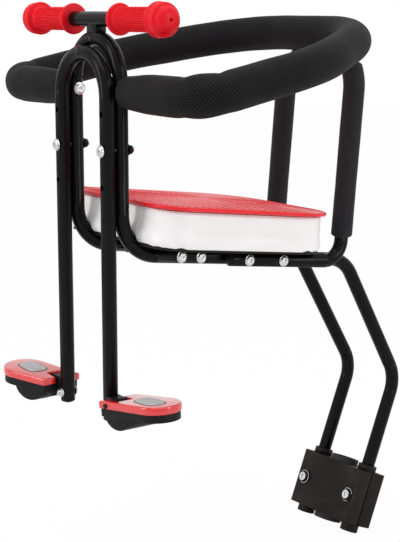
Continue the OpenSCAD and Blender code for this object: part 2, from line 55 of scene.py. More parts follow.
# Sizes that are the same as in the part's source, or follow from it
TUBE_R = 8.5
LEG_X, LEG_Y, FRONT_Y = 47.5, -370, -387.3
HANDLE_Z = 624.5
OUTER_X, POST_BEND, POST_PLACE = 64.8, 56.8, 311
ARCH_Z, BACKREST_LEAN = 594, math.radians(5)
SEAT_GAP = 0.3
RAIL_FALL = math.radians(7)
RAIL_START = Vector((0, LEG_Y, 366))
RAIL_ALONG = Vector((0, math.cos(RAIL_FALL), -math.sin(RAIL_FALL)))
RAIL_UP = Vector((0, math.sin(RAIL_FALL), math.cos(RAIL_FALL)))
POST_FOOT = RAIL_START + POST_PLACE * RAIL_ALONG
ARCH_Y = POST_FOOT.y + (ARCH_Z - POST_FOOT.z) * math.tan(BACKREST_LEAN)
GUARD_X, GUARD_Z = 199, 546.5
GUARD_LIFT, GUARD_SIDE, GUARD_PAD_R = 12, 155, 22
GUARD_REAR_X, GUARD_REAR_Z = 110, ARCH_Z + GUARD_LIFT
GUARD_REAR_Y = ARCH_Y - math.sqrt((TUBE_R + GUARD_PAD_R + SEAT_GAP) ** 2 - GUARD_LIFT ** 2)
GUARD_SIDE_Y = LEG_Y + GUARD_SIDE
GUARD_SIDE_Z = GUARD_Z + (GUARD_REAR_Z - GUARD_Z) * GUARD_SIDE / (GUARD_REAR_Y - LEG_Y)
GUARD_BENDS = (40, 170, 130)
GUARD_STUB = LEG_X + TUBE_R + SEAT_GAP
BOARD_TOP, SEAT_HALF, SEAT_FRONT, SEAT_REAR = 19.5, 112, 11, 271
SEAT_MIDDLE = (SEAT_FRONT + SEAT_REAR) / 2
FRONT_CORNER, REAR_CORNER = 35, 62
PEDAL_TOP, PEDAL_RISE = 207, math.radians(4)
PIN_X, PIN_Z = 19, 201.5
CLAMP_LEAN = math.radians(21.3)
ROD_X = LEG_X - 4
PEDAL_END, PEDAL_END_R = Vector((65, 20)), 27

# Sizes of the scene's own: heights of the vinyl's lower edge and seam above the rails, the red panel's ribs,
# the cover's knit, radius, seam and start beyond the stub, the foam sleeves, the grips' studs, the buttons of
# the clamp bolts, and the angle in degrees from which an edge counts as sharp
WRAP_Z, SEAM_Z = 15, 60.5
RIB_PITCH, RIB_TURN, PANEL_LIFT = 6.0, math.radians(37), 0.4
KNIT_PITCH = 2.7
COVER_R, COVER_SWELL, COVER_SEAM, COVER_START = 18.0, 3.4, math.radians(-52), 3
SLEEVE_START, SLEEVE_R, SLEEVE_BEND_SHARE = 30, 13.2, 0.36
STUD_ROWS, STUD_PITCH, STUD_START, STUD_RUN, BARREL_R = 30, 3.5, 55, 60, 12
BOLT_BUTTON_R = 5.2
CLOTH_FRAMES = 20
SHARP_EDGE = 34
SIDES = ((1, "left"), (-1, "right"))


# Materials

def hex_colour(code):
    """Linear colour from an sRGB hex value."""
    parts = [int(code[i:i + 2], 16) / 255 for i in (0, 2, 4)]
    return [c / 12.92 if c <= 0.04045 else ((c + 0.055) / 1.055) ** 2.4 for c in parts] + [1.0]


def add(tree, kind, inputs=None, **settings):
    """A node with its settings; an input is a number, a colour or another node's output."""
    node = tree.nodes.new(kind)
    for name, value in settings.items():
        setattr(node, name, value)
    for name, value in (inputs or {}).items():
        if isinstance(value, bpy.types.NodeSocket):
            tree.links.new(value, node.inputs[name])
        else:
            node.inputs[name].default_value = value
    return node


def finish_of(name, **shader):
    """A new material with a Principled shader; the shader's own sockets take the uniform values."""
    material = bpy.data.materials.new(name)
    material.use_nodes = True
    tree = material.node_tree
    tree.nodes.clear()
    surface = add(tree, "ShaderNodeBsdfPrincipled", {k.replace("_", " "): v for k, v in shader.items()})
    add(tree, "ShaderNodeOutputMaterial", {"Surface": surface.outputs[0]})
    return material, tree, surface


def place(tree, source="Object", scale=1.0):
    """Object coordinates in millimetres times a scale, or the piece's own UV, which is in millimetres."""
    coords = add(tree, "ShaderNodeTexCoord")
    factor = 1000.0 * scale if source == "Object" else scale
    return add(tree, "ShaderNodeVectorMath", {0: coords.outputs[source], 1: (factor,) * 3},
               operation="MULTIPLY").outputs[0]


def grain(tree, size, detail=3.0):
    """Noise whose features are about size millimetres across."""
    return add(tree, "ShaderNodeTexNoise", {"Vector": place(tree, scale=1 / size), "Scale": 1.0,
                                            "Detail": detail}).outputs["Fac"]


def spread(tree, value, low, high, start=0.35, stop=0.65):
    """Maps a value between start and stop, where most of a noise lies, onto low to high."""
    return add(tree, "ShaderNodeMapRange", {"Value": value, "From Min": start, "From Max": stop,
                                            "To Min": low, "To Max": high}).outputs[0]


def tint(tree, factor, first, second):
    """Mix of two sRGB colours."""
    return add(tree, "ShaderNodeMix", {"Factor": factor, 6: hex_colour(first), 7: hex_colour(second)},
               data_type="RGBA").outputs[2]


def relief(tree, surface, height, depth, strength=1.0):
    """Bump of the given depth in millimetres."""
    bump = add(tree, "ShaderNodeBump", {"Height": height, "Distance": depth * MM, "Strength": strength})
    tree.links.new(bump.outputs[0], surface.inputs["Normal"])


def link(tree, value, surface, socket):
    """Feeds one socket of the shader from another node."""
    tree.links.new(value, surface.inputs[socket])


def clouded(name, colour, gloss, skin, **shader):
    """A finish that noise alone varies. Colour is (noise size, detail, first, second), gloss is (noise size,
    detail, low, high roughness) and skin is (noise size, detail, depth, strength) of its relief."""
    material, tree, surface = finish_of(name, **shader)
    link(tree, tint(tree, grain(tree, *colour[:2]), *colour[2:]), surface, "Base Color")
    link(tree, spread(tree, grain(tree, *gloss[:2]), *gloss[2:]), surface, "Roughness")
    relief(tree, surface, grain(tree, *skin[:2]), *skin[2:])
    return material


def gloss_enamelled_steel():
    # Black gloss enamel on steel tube, sprayed and baked: deep black with a faint orange-peel skin of about
    # 3 mm waves and a slightly uneven gloss, so that highlights run down the tubes with soft edges
    return clouded("gloss_enamelled_steel", (60, 3.0, "0a0909", "110f0f"), (12, 3.0, 0.17, 0.27),
                   (3.2, 1.0, 0.02, 0.5), Specular_IOR_Level=0.1, IOR=1.5)


def closed_cell_foam():
    # Nitrile foam sleeve, extruded: dark grey and matt, with a skin of fine pores; real pores are about
    # 0.4 mm and are drawn at 1.1 mm so that they show
    material, tree, surface = finish_of("closed_cell_foam", Specular_IOR_Level=0.14, Sheen_Weight=0.05,
                                        Sheen_Roughness=0.6)
    pores = add(tree, "ShaderNodeTexVoronoi", {"Vector": place(tree, scale=1 / 1.1),
                                               "Scale": 1.0}).outputs["Distance"]
    link(tree, tint(tree, grain(tree, 9, 4.0), "151316", "201e21"), surface, "Base Color")
    link(tree, spread(tree, grain(tree, 5), 0.62, 0.8), surface, "Roughness")
    relief(tree, surface, pores, 0.12, 0.7)
    return material


def knitted_spacer_mesh():
    # Polyester spacer mesh, warp knitted: black threads round staggered holes, about 3 mm from row to row
    # along the rail, with a faint sheen from the threads; the holes are painted darker than the threads, as
    # painted shade
    material, tree, surface = finish_of("knitted_spacer_mesh", Specular_IOR_Level=0.08, Sheen_Weight=0.02,
                                        Sheen_Roughness=0.45)
    uv = place(tree, "UV")
    waves = None
    for turn in (math.radians(90), math.radians(30), math.radians(150)):
        toward = Vector((math.cos(turn), math.sin(turn), 0)) * (2 * math.pi / KNIT_PITCH)
        phase = add(tree, "ShaderNodeVectorMath", {0: uv, 1: toward}, operation="DOT_PRODUCT")
        wave = add(tree, "ShaderNodeMath", {0: phase.outputs["Value"]}, operation="COSINE").outputs[0]
        if waves:
            wave = add(tree, "ShaderNodeMath", {0: waves, 1: wave}, operation="ADD").outputs[0]
        waves = wave
    holes = add(tree, "ShaderNodeMapRange", {"Value": waves, "From Min": -0.4, "From Max": 1.8}).outputs[0]
    threads = add(tree, "ShaderNodeMath", {0: 1.0, 1: holes}, operation="SUBTRACT").outputs[0]
    hole_shade_and_drift = add(tree, "ShaderNodeMath", {0: threads, 1: spread(tree, grain(tree, 30, 3.0), 0.75, 1.1)},
                operation="MULTIPLY").outputs[0]
    # Painted shade: the holes take the darker colour and the threads the lighter one, varied by a slow noise
    link(tree, tint(tree, hole_shade_and_drift, "070607", "19181a"), surface, "Base Color")
    link(tree, spread(tree, threads, 0.8, 0.58, 0.0, 1.0), surface, "Roughness")
    relief(tree, surface, threads, 0.45, 0.8)
    return material


def moulded_grip_rubber():
    # Thermoplastic rubber grip, injection moulded: strong red, satin, softly mottled by handling
    return clouded("moulded_grip_rubber", (18, 3.0, "cc0618", "da1022"), (4, 3.0, 0.38, 0.52),
                   (0.9, 2.0, 0.04, 0.5), Specular_IOR_Level=0.16, Subsurface_Weight=0.04,
                   Subsurface_Radius=(0.004, 0.001, 0.001), Subsurface_Scale=0.4)


def white_seat_vinyl():
    # White PVC leathercloth, calendered and stretched round the foam: satin, with a fine pebble grain of
    # about 1.6 mm and slightly greyer patches
    material, tree, surface = finish_of("white_seat_vinyl", Specular_IOR_Level=0.4)
    pebbles = add(tree, "ShaderNodeTexVoronoi", {"Vector": place(tree, scale=1 / 1.6), "Scale": 1.0},
                  feature="SMOOTH_F1").outputs["Distance"]
    link(tree, tint(tree, grain(tree, 40, 4.0), "e2e0e0", "edecec"), surface, "Base Color")
    link(tree, spread(tree, grain(tree, 7), 0.34, 0.46), surface, "Roughness")
    relief(tree, surface, pebbles, 0.05, 0.5)
    return material


def embossed_red_vinyl():
    # Red PVC leathercloth with embossed ribs: glossy, so that its ribs pick up pale streaks of the room. The
    # colour follows the ribs of the mesh with painted light: a painted highlight on their tops and painted
    # shade between them
    material, tree, surface = finish_of("embossed_red_vinyl", Specular_IOR_Level=0.32, Coat_Weight=0.14,
                                        Coat_Roughness=0.2)
    turns = 2 * math.pi / RIB_PITCH
    across = Vector((math.cos(RIB_TURN), math.sin(RIB_TURN) / math.cos(RAIL_FALL), 0)) * turns
    start = Vector((0, -LEG_Y - SEAM_Z * math.sin(RAIL_FALL), 0)).dot(across)
    along = add(tree, "ShaderNodeVectorMath", {0: place(tree), 1: across}, operation="DOT_PRODUCT")
    phase = add(tree, "ShaderNodeMath", {0: along.outputs["Value"], 1: start}, operation="ADD").outputs[0]
    wave = add(tree, "ShaderNodeMath", {0: phase}, operation="COSINE").outputs[0]
    # Painted light: a lighter red on the rib tops as painted highlight and a deeper red between them as
    # painted shade, with a little random tone
    rib = add(tree, "ShaderNodeMath", {0: spread(tree, wave, 0.0, 0.85, -0.9, 0.3),
                                       1: spread(tree, grain(tree, 25, 3.0), 0.0, 0.15)},
              operation="ADD").outputs[0]
    link(tree, tint(tree, rib, "c40e1a", "ea2632"), surface, "Base Color")
    link(tree, spread(tree, grain(tree, 5), 0.27, 0.37), surface, "Roughness")
    relief(tree, surface, grain(tree, 0.8, 2.0), 0.03, 0.4)
    return material


def red_piping_vinyl():
    # The same red leathercloth, folded over a cord as piping: smooth, with a soft gloss
    return clouded("red_piping_vinyl", (25, 3.0, "d80f1c", "e61c28"), (5, 3.0, 0.27, 0.37),
                   (0.8, 2.0, 0.03, 0.4), Specular_IOR_Level=0.3, Coat_Weight=0.1, Coat_Roughness=0.2)


def stained_plywood():
    # Birch plywood, cut and stained black: fine grain along the length, about 1.5 mm wide, and a dull skin
    material, tree, surface = finish_of("stained_plywood", Specular_IOR_Level=0.14)
    stretched = add(tree, "ShaderNodeMapping", {"Vector": place(tree), "Scale": (0.7, 0.03, 0.9)}).outputs[0]
    fibre = add(tree, "ShaderNodeTexNoise", {"Vector": stretched, "Scale": 1.0, "Detail": 5.0,
                                             "Roughness": 0.65}).outputs["Fac"]
    link(tree, tint(tree, spread(tree, fibre, 0, 1), "12100f", "221e1b"), surface, "Base Color")
    link(tree, spread(tree, fibre, 0.45, 0.65), surface, "Roughness")
    relief(tree, surface, fibre, 0.08, 0.6)
    return material


def polished_red_abs():
    # Red ABS, injection moulded in a polished tool: high gloss with faint flow waves
    return clouded("polished_red_abs", (45, 2.0, "c80f15", "d61a1e"), (9, 3.0, 0.13, 0.22),
                   (6.0, 1.0, 0.03, 0.4), Specular_IOR_Level=0.5, Coat_Weight=0.9, Coat_Roughness=0.06)


def spark_textured_abs():
    # Black ABS, injection moulded in a spark-eroded tool: dark, satin, with a fine even grain drawn at 0.9 mm
    return clouded("spark_textured_abs", (20, 3.0, "0f0e0f", "181618"), (3, 3.0, 0.36, 0.52),
                   (0.9, 2.0, 0.06, 0.5), Specular_IOR_Level=0.14)


def ribbed_grey_rubber():
    # Pale grey rubber inlay, compression moulded: matt, with grip ribs 2.6 mm apart. At a scale of 0.318 a
    # wave of the node is about one unit long
    material, tree, surface = finish_of("ribbed_grey_rubber", Specular_IOR_Level=0.35)
    ribs = add(tree, "ShaderNodeTexWave", {"Vector": place(tree, scale=1 / 2.6), "Scale": 0.318},
               wave_type="BANDS", bands_direction="Y").outputs["Fac"]
    link(tree, tint(tree, grain(tree, 8, 3.0), "a9a6a8", "bcb9bb"), surface, "Base Color")
    link(tree, spread(tree, grain(tree, 2), 0.45, 0.6), surface, "Roughness")
    relief(tree, surface, ribs, 0.25, 0.6)
    return material


def glass_filled_nylon():
    # Glass-filled nylon, injection moulded: brownish black, with cloudy flow marks and fine fibre specks
    material, tree, surface = finish_of("glass_filled_nylon", Specular_IOR_Level=0.12)
    specks = add(tree, "ShaderNodeTexVoronoi", {"Vector": place(tree, scale=1 / 1.4),
                                                "Scale": 1.0}).outputs["Distance"]
    link(tree, tint(tree, grain(tree, 28, 4.0), "140e0d", "201817"), surface, "Base Color")
    link(tree, spread(tree, grain(tree, 6), 0.3, 0.46), surface, "Roughness")
    relief(tree, surface, specks, 0.05, 0.5)
    return material


def nitrile_liner():
    # Nitrile rubber liner, moulded: dull black with a talc bloom
    return clouded("nitrile_liner", (6, 4.0, "1c1a1b", "2e2b2c"), (3, 3.0, 0.6, 0.78),
                   (1.2, 2.0, 0.06, 0.6), Specular_IOR_Level=0.3)


def bright_zinc():
    # Steel with bright zinc plating, barrel plated: pale metal with small knocks and a faint blue passivate
    return clouded("bright_zinc", (4, 3.0, "c3c6ca", "dcdcd8"), (1.6, 3.0, 0.16, 0.34),
                   (1.4, 2.0, 0.03, 0.5), Metallic=1.0)


def black_oxide_steel():
    # Steel with a black oxide finish, oiled: dark, satin, with slightly browner worn places
    return clouded("black_oxide_steel", (3, 3.0, "151414", "221f1e"), (1.5, 3.0, 0.35, 0.5),
                   (1.2, 2.0, 0.03, 0.5), Metallic=0.6, Specular_IOR_Level=0.2)


def black_polyester_thread():
    # Bonded polyester sewing thread, twisted: black with a fine diagonal lay, drawn at 0.5 mm
    material, tree, surface = finish_of("black_polyester_thread", Specular_IOR_Level=0.3)
    link(tree, tint(tree, grain(tree, 0.5, 2.0), "161516", "2c2a2b"), surface, "Base Color")
    link(tree, spread(tree, grain(tree, 1.0), 0.5, 0.7), surface, "Roughness")
    return material


ENAMEL = gloss_enamelled_steel()
FOAM = closed_cell_foam()
MESH = knitted_spacer_mesh()
GRIP = moulded_grip_rubber()
WHITE = white_seat_vinyl()
RED = embossed_red_vinyl()
PIPING = red_piping_vinyl()
PLY = stained_plywood()
RED_ABS = polished_red_abs()
BLACK_ABS = spark_textured_abs()
INLAY = ribbed_grey_rubber()
NYLON = glass_filled_nylon()
LINER = nitrile_liner()
ZINC = bright_zinc()
OXIDE = black_oxide_steel()
BLACK_THREAD = black_polyester_thread()


# Mesh helpers

def piece_from(name, points, faces, material, uv=None, smooth=True):
    """A mesh piece from points in millimetres; uv gives one pair in millimetres for each face corner."""
    mesh = bpy.data.meshes.new(name)
    mesh.from_pydata([Vector(p) * MM for p in points], [], faces)
    if uv:
        layer = mesh.uv_layers.new(name="UVMap")
        for loop, pair in zip(layer.data, uv):
            loop.uv = pair
    mesh.polygons.foreach_set("use_smooth", [smooth] * len(mesh.polygons))
    mesh.materials.append(material)
    mesh.update()
    piece = bpy.data.objects.new(name, mesh)
    bpy.context.scene.collection.objects.link(piece)
    return piece


def outward(piece):
    """Turns every face of a closed piece outward."""
    work = bmesh.new()
    work.from_mesh(piece.data)
    bmesh.ops.recalc_face_normals(work, faces=work.faces)
    work.to_mesh(piece.data)
    work.free()
    return piece


def fixed(piece, angle=None):
    """Applies a piece's modifiers and leaves its plain mesh, shaded smooth up to an angle if one is given."""
    graph = bpy.context.evaluated_depsgraph_get()
    mesh = bpy.data.meshes.new_from_object(piece.evaluated_get(graph), depsgraph=graph)
    piece.modifiers.clear()
    piece.data = mesh
    if angle:
        mesh.polygons.foreach_set("use_smooth", [True] * len(mesh.polygons))
        mesh.set_sharp_from_angle(angle=math.radians(angle))
    return piece


def hand_over(piece, body, slot, *nodes):
    """Rides the piece on its body and lets it stand for its CAD nodes; the slot is not used."""
    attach(piece, body)
    if nodes:
        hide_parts(*nodes)
    return piece


def softened(node, name, material, width, slot, body="seat", rounds=2):
    """A copy of a CAD node, its loose triangles merged, its edges rounded and its curves shaded smooth."""
    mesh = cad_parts[node].data.copy()
    mesh.materials.clear()
    mesh.materials.append(material)
    work = bmesh.new()
    work.from_mesh(mesh)
    bmesh.ops.remove_doubles(work, verts=work.verts, dist=0.002 * MM)
    bmesh.ops.dissolve_limit(work, angle_limit=math.radians(0.6), verts=work.verts, edges=work.edges)
    for face in work.faces:
        face.material_index = 0
    work.to_mesh(mesh)
    work.free()
    piece = bpy.data.objects.new(name, mesh)
    bpy.context.scene.collection.objects.link(piece)
    if width:
        bevel = piece.modifiers.new("edges", "BEVEL")
        bevel.width = width * MM
        bevel.segments = rounds
        bevel.limit_method = "ANGLE"
        bevel.angle_limit = math.radians(SHARP_EDGE)
        bevel.use_clamp_overlap = True
        bevel.miter_outer = "MITER_ARC"
    fixed(piece, SHARP_EDGE)
    return hand_over(piece, body, slot, node)


def rounded_route(corners, radii, step):
    """Points and directions along straight runs and bends, with the distance from the start."""
    corners = [Vector(c) for c in corners]
    route = []
    travelled = 0.0
    at = corners[0]
    for i in range(1, len(corners)):
        ahead = (corners[i] - corners[i - 1]).normalized()
        if i < len(corners) - 1:
            after = (corners[i + 1] - corners[i]).normalized()
            turn = ahead.angle(after)
            cut = radii[i] * math.tan(turn / 2)
        else:
            turn, cut = 0.0, 0.0
        stop = corners[i] - ahead * cut
        length = (stop - at).length
        count = max(1, round(length / step))
        for k in range(count + (1 if turn == 0 else 0)):
            route.append((at + ahead * length * k / count, ahead.copy(), travelled + length * k / count))
        travelled += length
        if turn:
            inward = (after - ahead * ahead.dot(after)).normalized()
            centre = stop + inward * radii[i]
            count = max(2, round(radii[i] * turn / step))
            for k in range(count):
                a = turn * k / count
                point = centre - inward * radii[i] * math.cos(a) + ahead * radii[i] * math.sin(a)
                route.append((point, ahead * math.cos(a) + inward * math.sin(a), travelled + radii[i] * a))
            travelled += radii[i] * turn
            at = centre - inward * radii[i] * math.cos(turn) + ahead * radii[i] * math.sin(turn)
    return route


def swept(name, route, around, flat_normal, radius_at, material):
    """A closed skin round a route in one plane; radius_at gives its radius for a distance and an angle."""
    flat_normal = Vector(flat_normal).normalized()
    points, faces, uv = [], [], []
    for point, ahead, along in route:
        across = flat_normal.cross(ahead).normalized()
        for k in range(around):
            a = 2 * math.pi * k / around
            points.append(point + (across * math.cos(a) + flat_normal * math.sin(a)) * radius_at(along, a))
    girth = 2 * math.pi * radius_at(route[len(route) // 2][2], 0.0)
    girth = max(1, round(girth / KNIT_PITCH)) * KNIT_PITCH
    for i in range(len(route) - 1):
        for k in range(around):
            n = (k + 1) % around
            faces.append((i * around + k, (i + 1) * around + k, (i + 1) * around + n, i * around + n))
            lo, hi = route[i][2], route[i + 1][2]
            uv += [(lo, girth * k / around), (hi, girth * k / around), (hi, girth * (k + 1) / around),
                   (lo, girth * (k + 1) / around)]
    for end, flip in ((0, False), (len(route) - 1, True)):
        hub = len(points)
        points.append(route[end][0])
        for k in range(around):
            rim = (end * around + k, end * around + (k + 1) % around)
            faces.append((hub, rim[1], rim[0]) if flip else (hub, rim[0], rim[1]))
            uv += [(0, 0), (1, 0), (0, 1)]
    return outward(piece_from(name, points, faces, material, uv))


def smoothstep(low, high, value):
    """A soft step from 0 at low to 1 at high."""
    t = min(1.0, max(0.0, (value - low) / (high - low)))
    return t * t * (3 - 2 * t)


def hump(value, middle, width):
    """A bell of height 1 round the middle."""
    return math.exp(-((value - middle) / width) ** 2)


def bands(rows, count):
    """The faces between rings of points, row after row."""
    steps = [(k, (k + 1) % count) for k in range(count)]
    return [(i * count + k, i * count + n, (i + 1) * count + n, (i + 1) * count + k)
            for i in range(rows - 1) for k, n in steps]


def turned(name, profile, around, stand, material):
    """A turned piece: profile is (radius, height) pairs, from one pole to the other, round its own z axis."""
    points = []
    for r, z in profile[1:-1]:
        for k in range(around):
            a = 2 * math.pi * k / around
            points.append(stand @ Vector((r * math.cos(a), r * math.sin(a), z)))
    rows = len(profile) - 2
    faces = bands(rows, around)
    for end, row in ((0, 0), (-1, rows - 1)):
        hub = len(points)
        points.append(stand @ Vector((0, 0, profile[end][1])))
        for k in range(around):
            faces.append((hub, row * around + k, row * around + (k + 1) % around))
    return outward(piece_from(name, points, faces, material))


def rounded_prism(name, outline, low, high, edge, rounds, stand, material):
    """A slab over outline(margin), with its upper and lower edges rounded."""
    rings = []
    for k in range(rounds + 1):
        a = math.pi / 2 * k / rounds
        rings.append((edge * (1 - math.sin(a)), low + edge * (1 - math.cos(a))))
    for k in range(rounds + 1):
        a = math.pi / 2 * k / rounds
        rings.append((edge * (1 - math.cos(a)), high - edge * (1 - math.sin(a))))
    points = [stand @ Vector((x, y, z)) for margin, z in rings for x, y in outline(margin)]
    count = len(outline(0))
    faces = bands(len(rings), count)
    faces += [tuple(range(count)), tuple(range((len(rings) - 1) * count, len(rings) * count))]
    piece = outward(piece_from(name, points, faces, material))
    piece.data.set_sharp_from_angle(angle=math.radians(40))
    return piece


# Geometry Nodes helpers

def node_group(name, sizes):
    """An empty geometry tree with named inputs for its sizes, in metres."""
    group = bpy.data.node_groups.new(name, "GeometryNodeTree")
    group.interface.new_socket("Geometry", in_out="INPUT", socket_type="NodeSocketGeometry")
    sockets = {}
    for label, value in sizes.items():
        socket = group.interface.new_socket(label, in_out="INPUT", socket_type="NodeSocketFloat")
        socket.default_value = value
        sockets[label] = socket.identifier
    group.interface.new_socket("Geometry", in_out="OUTPUT", socket_type="NodeSocketGeometry")
    return group, sockets


def grown(piece, group, sockets, sizes):
    """Runs a geometry tree on a carrier and leaves its result as a plain mesh."""
    modifier = piece.modifiers.new("repeat", "NODES")
    modifier.node_group = group
    for label, value in sizes.items():
        modifier[sockets[label]] = value
    graph = bpy.context.evaluated_depsgraph_get()
    mesh = bpy.data.meshes.new_from_object(piece.evaluated_get(graph), depsgraph=graph)
    result = bpy.data.objects.new(piece.name + "_made", mesh)
    bpy.context.scene.collection.objects.link(result)
    bpy.data.objects.remove(piece)
    return result


def carrier(name, runs):
    """A mesh of edges along each run of points, with the run's outward direction as an attribute."""
    points, edges, normals = [], [], []
    for run in runs:
        base = len(points)
        for point, normal in run:
            points.append(Vector(point) * MM)
            normals.append(Vector(normal).normalized())
        edges += [(base + i, base + i + 1) for i in range(len(run) - 1)]
    mesh = bpy.data.meshes.new(name)
    mesh.from_pydata(points, edges, [])
    attribute = mesh.attributes.new("outward", "FLOAT_VECTOR", "POINT")
    for item, normal in zip(attribute.data, normals):
        item.vector = normal
    piece = bpy.data.objects.new(name, mesh)
    bpy.context.scene.collection.objects.link(piece)
    return piece


def stitch_tree(name, material):
    """Rounded beads along every run, as stitches or studs, by their pitch, length, width, height and lift."""
    sizes = {"Pitch": 0.004, "Length": 0.003, "Width": 0.0008, "Height": 0.0005, "Lift": 0.0}
    group, sockets = node_group(name, sizes)
    start = add(group, "NodeGroupInput")
    out = start.outputs
    curve = add(group, "GeometryNodeMeshToCurve", {"Mesh": out["Geometry"]}).outputs[0]
    normal = add(group, "GeometryNodeInputNamedAttribute", {"Name": "outward"},
                 data_type="FLOAT_VECTOR").outputs[0]
    stored = add(group, "GeometryNodeStoreNamedAttribute", {"Geometry": curve, "Name": "up", "Value": normal},
                 data_type="FLOAT_VECTOR", domain="POINT").outputs[0]
    spots = add(group, "GeometryNodeCurveToPoints", {"Curve": stored, "Length": out["Pitch"]}, mode="LENGTH")
    up = add(group, "GeometryNodeInputNamedAttribute", {"Name": "up"}, data_type="FLOAT_VECTOR").outputs[0]
    facing = add(group, "FunctionNodeAlignRotationToVector", {"Vector": spots.outputs["Tangent"]},
                 axis="X").outputs[0]
    upright = add(group, "FunctionNodeAlignRotationToVector", {"Rotation": facing, "Vector": up}, axis="Z",
                  pivot_axis="X").outputs[0]
    offset = add(group, "ShaderNodeVectorMath", {0: up, "Scale": out["Lift"]}, operation="SCALE").outputs[0]
    moved = add(group, "GeometryNodeSetPosition", {"Geometry": spots.outputs["Points"],
                                                   "Offset": offset}).outputs[0]
    bead = add(group, "GeometryNodeMeshUVSphere", {"Segments": 8, "Rings": 5, "Radius": 0.5}).outputs["Mesh"]
    size = add(group, "ShaderNodeCombineXYZ", {0: out["Length"], 1: out["Width"],
                                               2: out["Height"]}).outputs[0]
    scaled = add(group, "GeometryNodeTransform", {"Geometry": bead, "Scale": size}).outputs[0]
    placed = add(group, "GeometryNodeInstanceOnPoints", {"Points": moved, "Instance": scaled,
                                                         "Rotation": upright}).outputs[0]
    real = add(group, "GeometryNodeRealizeInstances", {"Geometry": placed}).outputs[0]
    smooth = add(group, "GeometryNodeSetShadeSmooth", {"Geometry": real}).outputs[0]
    coated = add(group, "GeometryNodeSetMaterial", {"Geometry": smooth, "Material": material}).outputs[0]
    add(group, "NodeGroupOutput", {"Geometry": coated})
    return group, sockets


# Copies of CAD nodes. Frame: tubes with softly rounded ends and holes, the handle's block and the straps

for node, name, width in (("main_frame", "main_frame_tube", 0.25), ("footrest_frame", "footrest_tube", 0.25),
                          ("backrest_frame", "backrest_tube", 0.25), ("guard_rail", "guard_rail_tube", 0),
                          ("handle_bar", "handle_bar_tube", 0)):
    softened(node, name, ENAMEL, width, "frame_paint")
softened("handle_saddle", "handle_saddle_block", ENAMEL, 0.8, "frame_paint", rounds=3)
softened("guard_spacer", "guard_spacer_bush", ENAMEL, 0.4, "frame_paint")
for node in ("front_strap", "rear_strap"):
    softened(node, node + "_plate", ENAMEL, 0.6, "frame_paint")

# Small hardware: bright zinc, but blackened behind the legs and in the hinges, where nothing bright shows

for node in ("guard_inserts", "guard_bolts", "guard_washers", "guard_rear_bolt", "guard_rear_nut",
             "board_screws", "front_rail_bolts", "front_rail_nuts", "rear_rail_bolts", "rear_rail_nuts",
             "frame_bolts", "bracket_bolts", "bracket_nuts", "clamp_nuts"):
    softened(node, node + "_plated", ZINC, 0.3, "zinc_steel")
for node in ("frame_nuts", "pedal_pin_left", "pedal_pin_right"):
    softened(node, node + "_blackened", OXIDE, 0.3, "zinc_steel")

# Clamp bolts: bright zinc within BOLT_BUTTON_R of each bolt's axis, and the black oxide material on the faces
# further out

clamp_bolt = softened("clamp_bolts", "clamp_bolts_two_tone", ZINC, 0.3, "zinc_steel")
clamp_bolt.data.materials.append(OXIDE)
clamp_up = Vector((0, math.sin(CLAMP_LEAN), math.cos(CLAMP_LEAN)))
for face in clamp_bolt.data.polygons:
    spot = face.center / MM
    if math.hypot(abs(spot.x) - ROD_X, spot.dot(clamp_up)) > BOLT_BUTTON_R:
        face.material_index = 1

# Plugs in the tubes' ends, and the clamp with its liners

for node in ("backrest_plugs", "leg_plugs"):
    softened(node, node + "_moulded", BLACK_ABS, 0.3, "black_plastic")
softened("clamp_front", "clamp_front_shell", NYLON, 1.2, "clamp_plastic", rounds=3)
softened("clamp_rear", "clamp_rear_shell", NYLON, 0.6, "clamp_plastic")
softened("rod_collars", "rod_collar_rings", NYLON, 0.9, "clamp_plastic")
softened("rod_end_caps", "rod_end_cap_cups", NYLON, 1.0, "clamp_plastic", rounds=3)
for node in ("clamp_liner_front", "clamp_liner_rear"):
    softened(node, node + "_half", LINER, 0.4, "liner_rubber")

# Guard padding: spacer mesh sewn over foam, pinched at the front legs, swollen and creased at the corners

rear_dir = Vector((0, GUARD_REAR_Y - LEG_Y, GUARD_REAR_Z - GUARD_Z)).normalized()
guard_normal = Vector((1, 0, 0)).cross(rear_dir).normalized()
pad_half = [(GUARD_STUB + COVER_START, LEG_Y, GUARD_Z), (GUARD_X, LEG_Y, GUARD_Z),
            (GUARD_X, GUARD_SIDE_Y, GUARD_SIDE_Z), (GUARD_REAR_X, GUARD_REAR_Y, GUARD_REAR_Z)]
pad_route = rounded_route(pad_half + [(-x, y, z) for x, y, z in reversed(pad_half)],
                          [0, *GUARD_BENDS, *reversed(GUARD_BENDS), 0], 1.9)
pad_length = pad_route[-1][2]
front_run = GUARD_X - GUARD_STUB - COVER_START - GUARD_BENDS[0]
corner_mid = front_run + GUARD_BENDS[0] * math.pi / 4


def pad_radius(along, angle):
    """The cover's radius: pinched at its ends, swollen and creased at its front corners, ridged at its seam.
    The angle is 0 on the rail's inner side."""
    s = min(along, pad_length - along)
    r = COVER_R + COVER_SWELL * smoothstep(0, 58, s)
    r *= 1 - 0.6 * (1 - smoothstep(-4, 9, s)) ** 2
    inner = max(0.0, math.cos(angle))
    upper = math.sin(angle)
    r += 1.5 * hump(s, corner_mid - 2, 13) - 1.3 * hump(s, corner_mid + 21, 6) * (0.6 + 0.4 * upper)
    r -= 0.9 * hump(s, corner_mid - 22, 7) * (0.5 + 0.5 * abs(upper))
    r += 0.55 * hump(s, corner_mid, 26) * inner * math.sin(s * 2 * math.pi / 8.5)
    r += 0.5 * noise.noise(Vector((along / 38, math.cos(angle) * 1.2, math.sin(angle) * 1.2)))
    from_seam = math.remainder(angle - COVER_SEAM, 2 * math.pi)
    return r + 1.1 * hump(from_seam, 0, 0.055) - 0.5 * hump(from_seam, 0, 0.16)


padding = swept("guard_padding_cover", pad_route, 80, guard_normal, pad_radius, MESH)
hand_over(padding, "seat", "mesh_fabric", "guard_padding")

# Stitches beside the cover's seam, and the bound edges at its two ends

